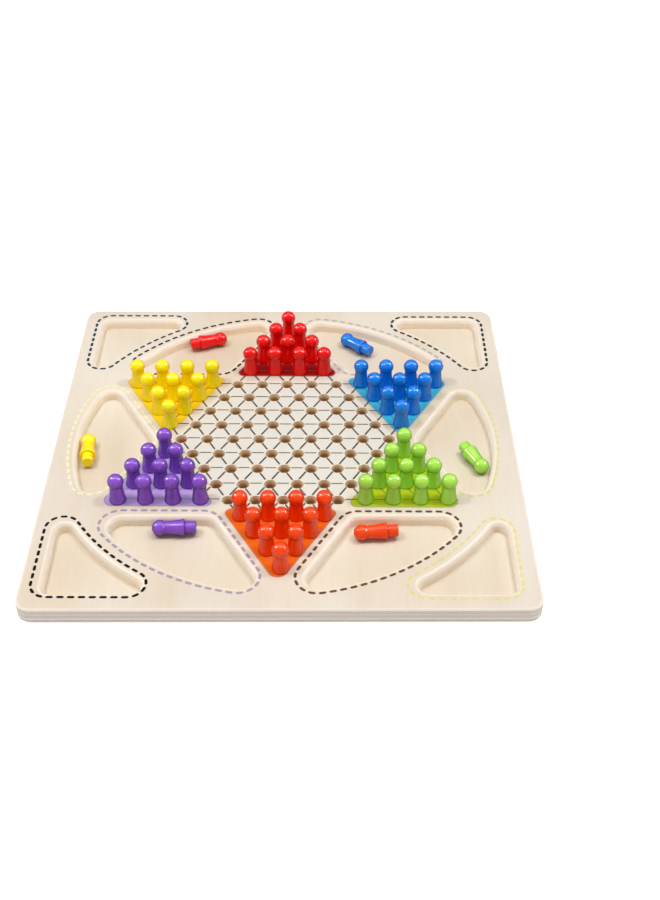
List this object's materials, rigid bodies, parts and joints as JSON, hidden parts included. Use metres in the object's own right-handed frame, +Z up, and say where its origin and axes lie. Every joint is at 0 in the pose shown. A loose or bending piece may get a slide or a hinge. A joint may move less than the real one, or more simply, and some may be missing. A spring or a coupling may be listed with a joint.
{
  "type": "chinese checkers board",
  "caption": "Square wooden Chinese checkers board with a star of peg holes, side and corner storage pockets, and turned pawns in six colours that lift out.",
  "frame": {"origin": "centre of the flat underside of the board", "axes": "+Z up, out of the playing face; +Y towards the red point of the star; +X to the right of a player who faces the red point"},
  "size_m": [0.3, 0.3, 0.0303],
  "materials": {
    "birch_top": "sanded pale birch plywood, clear satin",
    "birch_base": "sanded pale birch plywood, clear satin",
    "red_paint": "turned wood dipped in gloss red paint",
    "yellow_paint": "turned wood dipped in gloss yellow paint",
    "purple_paint": "turned wood dipped in gloss purple paint",
    "orange_paint": "turned wood dipped in gloss orange paint",
    "green_paint": "turned wood dipped in gloss green paint",
    "blue_paint": "turned wood dipped in gloss blue paint"
  },
  "bodies": {
    "board": {"top_plate": "birch_top", "base_plate": "birch_base"},
    "red_pawn_1": {"red_pawn_1": "red_paint"},
    "red_pawn_2": {"red_pawn_2": "red_paint"},
    "red_pawn_3": {"red_pawn_3": "red_paint"},
    "red_pawn_4": {"red_pawn_4": "red_paint"},
    "red_pawn_5": {"red_pawn_5": "red_paint"},
    "red_pawn_6": {"red_pawn_6": "red_paint"},
    "red_pawn_7": {"red_pawn_7": "red_paint"},
    "yellow_pawn_1": {"yellow_pawn_1": "yellow_paint"},
    "yellow_pawn_2": {"yellow_pawn_2": "yellow_paint"},
    "yellow_pawn_3": {"yellow_pawn_3": "yellow_paint"},
    "yellow_pawn_4": {"yellow_pawn_4": "yellow_paint"},
    "yellow_pawn_5": {"yellow_pawn_5": "yellow_paint"},
    "yellow_pawn_6": {"yellow_pawn_6": "yellow_paint"},
    "yellow_pawn_7": {"yellow_pawn_7": "yellow_paint"},
    "purple_pawn_1": {"purple_pawn_1": "purple_paint"},
    "purple_pawn_2": {"purple_pawn_2": "purple_paint"},
    "purple_pawn_3": {"purple_pawn_3": "purple_paint"},
    "purple_pawn_4": {"purple_pawn_4": "purple_paint"},
    "purple_pawn_5": {"purple_pawn_5": "purple_paint"},
    "purple_pawn_6": {"purple_pawn_6": "purple_paint"},
    "purple_pawn_7": {"purple_pawn_7": "purple_paint"},
    "orange_pawn_1": {"orange_pawn_1": "orange_paint"},
    "orange_pawn_2": {"orange_pawn_2": "orange_paint"},
    "orange_pawn_3": {"orange_pawn_3": "orange_paint"},
    "orange_pawn_4": {"orange_pawn_4": "orange_paint"},
    "orange_pawn_5": {"orange_pawn_5": "orange_paint"},
    "orange_pawn_6": {"orange_pawn_6": "orange_paint"},
    "orange_pawn_7": {"orange_pawn_7": "orange_paint"},
    "green_pawn_1": {"green_pawn_1": "green_paint"},
    "green_pawn_2": {"green_pawn_2": "green_paint"},
    "green_pawn_3": {"green_pawn_3": "green_paint"},
    "green_pawn_4": {"green_pawn_4": "green_paint"},
    "green_pawn_5": {"green_pawn_5": "green_paint"},
    "green_pawn_6": {"green_pawn_6": "green_paint"},
    "green_pawn_7": {"green_pawn_7": "green_paint"},
    "blue_pawn_1": {"blue_pawn_1": "blue_paint"},
    "blue_pawn_2": {"blue_pawn_2": "blue_paint"},
    "blue_pawn_3": {"blue_pawn_3": "blue_paint"},
    "blue_pawn_4": {"blue_pawn_4": "blue_paint"},
    "blue_pawn_5": {"blue_pawn_5": "blue_paint"},
    "blue_pawn_6": {"blue_pawn_6": "blue_paint"},
    "blue_pawn_7": {"blue_pawn_7": "blue_paint"},
    "red_rear_pawns": {"red_rear_pawns": "red_paint"},
    "yellow_rear_pawns": {"yellow_rear_pawns": "yellow_paint"},
    "purple_rear_pawns": {"purple_rear_pawns": "purple_paint"},
    "orange_rear_pawns": {"orange_rear_pawns": "orange_paint"},
    "green_rear_pawns": {"green_rear_pawns": "green_paint"},
    "blue_rear_pawns": {"blue_rear_pawns": "blue_paint"},
    "red_spare_pawn": {"red_spare_pawn": "red_paint"},
    "yellow_spare_pawn": {"yellow_spare_pawn": "yellow_paint"},
    "purple_spare_pawn": {"purple_spare_pawn": "purple_paint"},
    "orange_spare_pawn": {"orange_spare_pawn": "orange_paint"},
    "green_spare_pawn": {"green_spare_pawn": "green_paint"},
    "blue_spare_pawn": {"blue_spare_pawn": "blue_paint"}
  },
  "joints": [
    {"name": "red_pawn_1_lift", "type": "slide", "parent": "board", "child": "red_pawn_1", "axis": [0, 0, 1], "range_m": [0, 0.04]},
    {"name": "red_pawn_2_lift", "type": "slide", "parent": "board", "child": "red_pawn_2", "axis": [0, 0, 1], "range_m": [0, 0.04]},
    {"name": "red_pawn_3_lift", "type": "slide", "parent": "board", "child": "red_pawn_3", "axis": [0, 0, 1], "range_m": [0, 0.04]},
    {"name": "red_pawn_4_lift", "type": "slide", "parent": "board", "child": "red_pawn_4", "axis": [0, 0, 1], "range_m": [0, 0.04]},
    {"name": "red_pawn_5_lift", "type": "slide", "parent": "board", "child": "red_pawn_5", "axis": [0, 0, 1], "range_m": [0, 0.04]},
    {"name": "red_pawn_6_lift", "type": "slide", "parent": "board", "child": "red_pawn_6", "axis": [0, 0, 1], "range_m": [0, 0.04]},
    {"name": "red_pawn_7_lift", "type": "slide", "parent": "board", "child": "red_pawn_7", "axis": [0, 0, 1], "range_m": [0, 0.04]},
    {"name": "yellow_pawn_1_lift", "type": "slide", "parent": "board", "child": "yellow_pawn_1", "axis": [0, 0, 1], "range_m": [0, 0.04]},
    {"name": "yellow_pawn_2_lift", "type": "slide", "parent": "board", "child": "yellow_pawn_2", "axis": [0, 0, 1], "range_m": [0, 0.04]},
    {"name": "yellow_pawn_3_lift", "type": "slide", "parent": "board", "child": "yellow_pawn_3", "axis": [0, 0, 1], "range_m": [0, 0.04]},
    {"name": "yellow_pawn_4_lift", "type": "slide", "parent": "board", "child": "yellow_pawn_4", "axis": [0, 0, 1], "range_m": [0, 0.04]},
    {"name": "yellow_pawn_5_lift", "type": "slide", "parent": "board", "child": "yellow_pawn_5", "axis": [0, 0, 1], "range_m": [0, 0.04]},
    {"name": "yellow_pawn_6_lift", "type": "slide", "parent": "board", "child": "yellow_pawn_6", "axis": [0, 0, 1], "range_m": [0, 0.04]},
    {"name": "yellow_pawn_7_lift", "type": "slide", "parent": "board", "child": "yellow_pawn_7", "axis": [0, 0, 1], "range_m": [0, 0.04]},
    {"name": "purple_pawn_1_lift", "type": "slide", "parent": "board", "child": "purple_pawn_1", "axis": [0, 0, 1], "range_m": [0, 0.04]},
    {"name": "purple_pawn_2_lift", "type": "slide", "parent": "board", "child": "purple_pawn_2", "axis": [0, 0, 1], "range_m": [0, 0.04]},
    {"name": "purple_pawn_3_lift", "type": "slide", "parent": "board", "child": "purple_pawn_3", "axis": [0, 0, 1], "range_m": [0, 0.04]},
    {"name": "purple_pawn_4_lift", "type": "slide", "parent": "board", "child": "purple_pawn_4", "axis": [0, 0, 1], "range_m": [0, 0.04]},
    {"name": "purple_pawn_5_lift", "type": "slide", "parent": "board", "child": "purple_pawn_5", "axis": [0, 0, 1], "range_m": [0, 0.04]},
    {"name": "purple_pawn_6_lift", "type": "slide", "parent": "board", "child": "purple_pawn_6", "axis": [0, 0, 1], "range_m": [0, 0.04]},
    {"name": "purple_pawn_7_lift", "type": "slide", "parent": "board", "child": "purple_pawn_7", "axis": [0, 0, 1], "range_m": [0, 0.04]},
    {"name": "orange_pawn_1_lift", "type": "slide", "parent": "board", "child": "orange_pawn_1", "axis": [0, 0, 1], "range_m": [0, 0.04]},
    {"name": "orange_pawn_2_lift", "type": "slide", "parent": "board", "child": "orange_pawn_2", "axis": [0, 0, 1], "range_m": [0, 0.04]},
    {"name": "orange_pawn_3_lift", "type": "slide", "parent": "board", "child": "orange_pawn_3", "axis": [0, 0, 1], "range_m": [0, 0.04]},
    {"name": "orange_pawn_4_lift", "type": "slide", "parent": "board", "child": "orange_pawn_4", "axis": [0, 0, 1], "range_m": [0, 0.04]},
    {"name": "orange_pawn_5_lift", "type": "slide", "parent": "board", "child": "orange_pawn_5", "axis": [0, 0, 1], "range_m": [0, 0.04]},
    {"name": "orange_pawn_6_lift", "type": "slide", "parent": "board", "child": "orange_pawn_6", "axis": [0, 0, 1], "range_m": [0, 0.04]},
    {"name": "orange_pawn_7_lift", "type": "slide", "parent": "board", "child": "orange_pawn_7", "axis": [0, 0, 1], "range_m": [0, 0.04]},
    {"name": "green_pawn_1_lift", "type": "slide", "parent": "board", "child": "green_pawn_1", "axis": [0, 0, 1], "range_m": [0, 0.04]},
    {"name": "green_pawn_2_lift", "type": "slide", "parent": "board", "child": "green_pawn_2", "axis": [0, 0, 1], "range_m": [0, 0.04]},
    {"name": "green_pawn_3_lift", "type": "slide", "parent": "board", "child": "green_pawn_3", "axis": [0, 0, 1], "range_m": [0, 0.04]},
    {"name": "green_pawn_4_lift", "type": "slide", "parent": "board", "child": "green_pawn_4", "axis": [0, 0, 1], "range_m": [0, 0.04]},
    {"name": "green_pawn_5_lift", "type": "slide", "parent": "board", "child": "green_pawn_5", "axis": [0, 0, 1], "range_m": [0, 0.04]},
    {"name": "green_pawn_6_lift", "type": "slide", "parent": "board", "child": "green_pawn_6", "axis": [0, 0, 1], "range_m": [0, 0.04]},
    {"name": "green_pawn_7_lift", "type": "slide", "parent": "board", "child": "green_pawn_7", "axis": [0, 0, 1], "range_m": [0, 0.04]},
    {"name": "blue_pawn_1_lift", "type": "slide", "parent": "board", "child": "blue_pawn_1", "axis": [0, 0, 1], "range_m": [0, 0.04]},
    {"name": "blue_pawn_2_lift", "type": "slide", "parent": "board", "child": "blue_pawn_2", "axis": [0, 0, 1], "range_m": [0, 0.04]},
    {"name": "blue_pawn_3_lift", "type": "slide", "parent": "board", "child": "blue_pawn_3", "axis": [0, 0, 1], "range_m": [0, 0.04]},
    {"name": "blue_pawn_4_lift", "type": "slide", "parent": "board", "child": "blue_pawn_4", "axis": [0, 0, 1], "range_m": [0, 0.04]},
    {"name": "blue_pawn_5_lift", "type": "slide", "parent": "board", "child": "blue_pawn_5", "axis": [0, 0, 1], "range_m": [0, 0.04]},
    {"name": "blue_pawn_6_lift", "type": "slide", "parent": "board", "child": "blue_pawn_6", "axis": [0, 0, 1], "range_m": [0, 0.04]},
    {"name": "blue_pawn_7_lift", "type": "slide", "parent": "board", "child": "blue_pawn_7", "axis": [0, 0, 1], "range_m": [0, 0.04]},
    {"name": "red_rear_pawns_lift", "type": "slide", "parent": "board", "child": "red_rear_pawns", "axis": [0, 0, 1], "range_m": [0, 0.04]},
    {"name": "yellow_rear_pawns_lift", "type": "slide", "parent": "board", "child": "yellow_rear_pawns", "axis": [0, 0, 1], "range_m": [0, 0.04]},
    {"name": "purple_rear_pawns_lift", "type": "slide", "parent": "board", "child": "purple_rear_pawns", "axis": [0, 0, 1], "range_m": [0, 0.04]},
    {"name": "orange_rear_pawns_lift", "type": "slide", "parent": "board", "child": "orange_rear_pawns", "axis": [0, 0, 1], "range_m": [0, 0.04]},
    {"name": "green_rear_pawns_lift", "type": "slide", "parent": "board", "child": "green_rear_pawns", "axis": [0, 0, 1], "range_m": [0, 0.04]},
    {"name": "blue_rear_pawns_lift", "type": "slide", "parent": "board", "child": "blue_rear_pawns", "axis": [0, 0, 1], "range_m": [0, 0.04]},
    {"name": "red_spare_pawn_lift", "type": "slide", "parent": "board", "child": "red_spare_pawn", "axis": [0, 0, 1], "range_m": [0, 0.04]},
    {"name": "yellow_spare_pawn_lift", "type": "slide", "parent": "board", "child": "yellow_spare_pawn", "axis": [0, 0, 1], "range_m": [0, 0.04]},
    {"name": "purple_spare_pawn_lift", "type": "slide", "parent": "board", "child": "purple_spare_pawn", "axis": [0, 0, 1], "range_m": [0, 0.04]},
    {"name": "orange_spare_pawn_lift", "type": "slide", "parent": "board", "child": "orange_spare_pawn", "axis": [0, 0, 1], "range_m": [0, 0.04]},
    {"name": "green_spare_pawn_lift", "type": "slide", "parent": "board", "child": "green_spare_pawn", "axis": [0, 0, 1], "range_m": [0, 0.04]},
    {"name": "blue_spare_pawn_lift", "type": "slide", "parent": "board", "child": "blue_spare_pawn", "axis": [0, 0, 1], "range_m": [0, 0.04]}
  ]
}
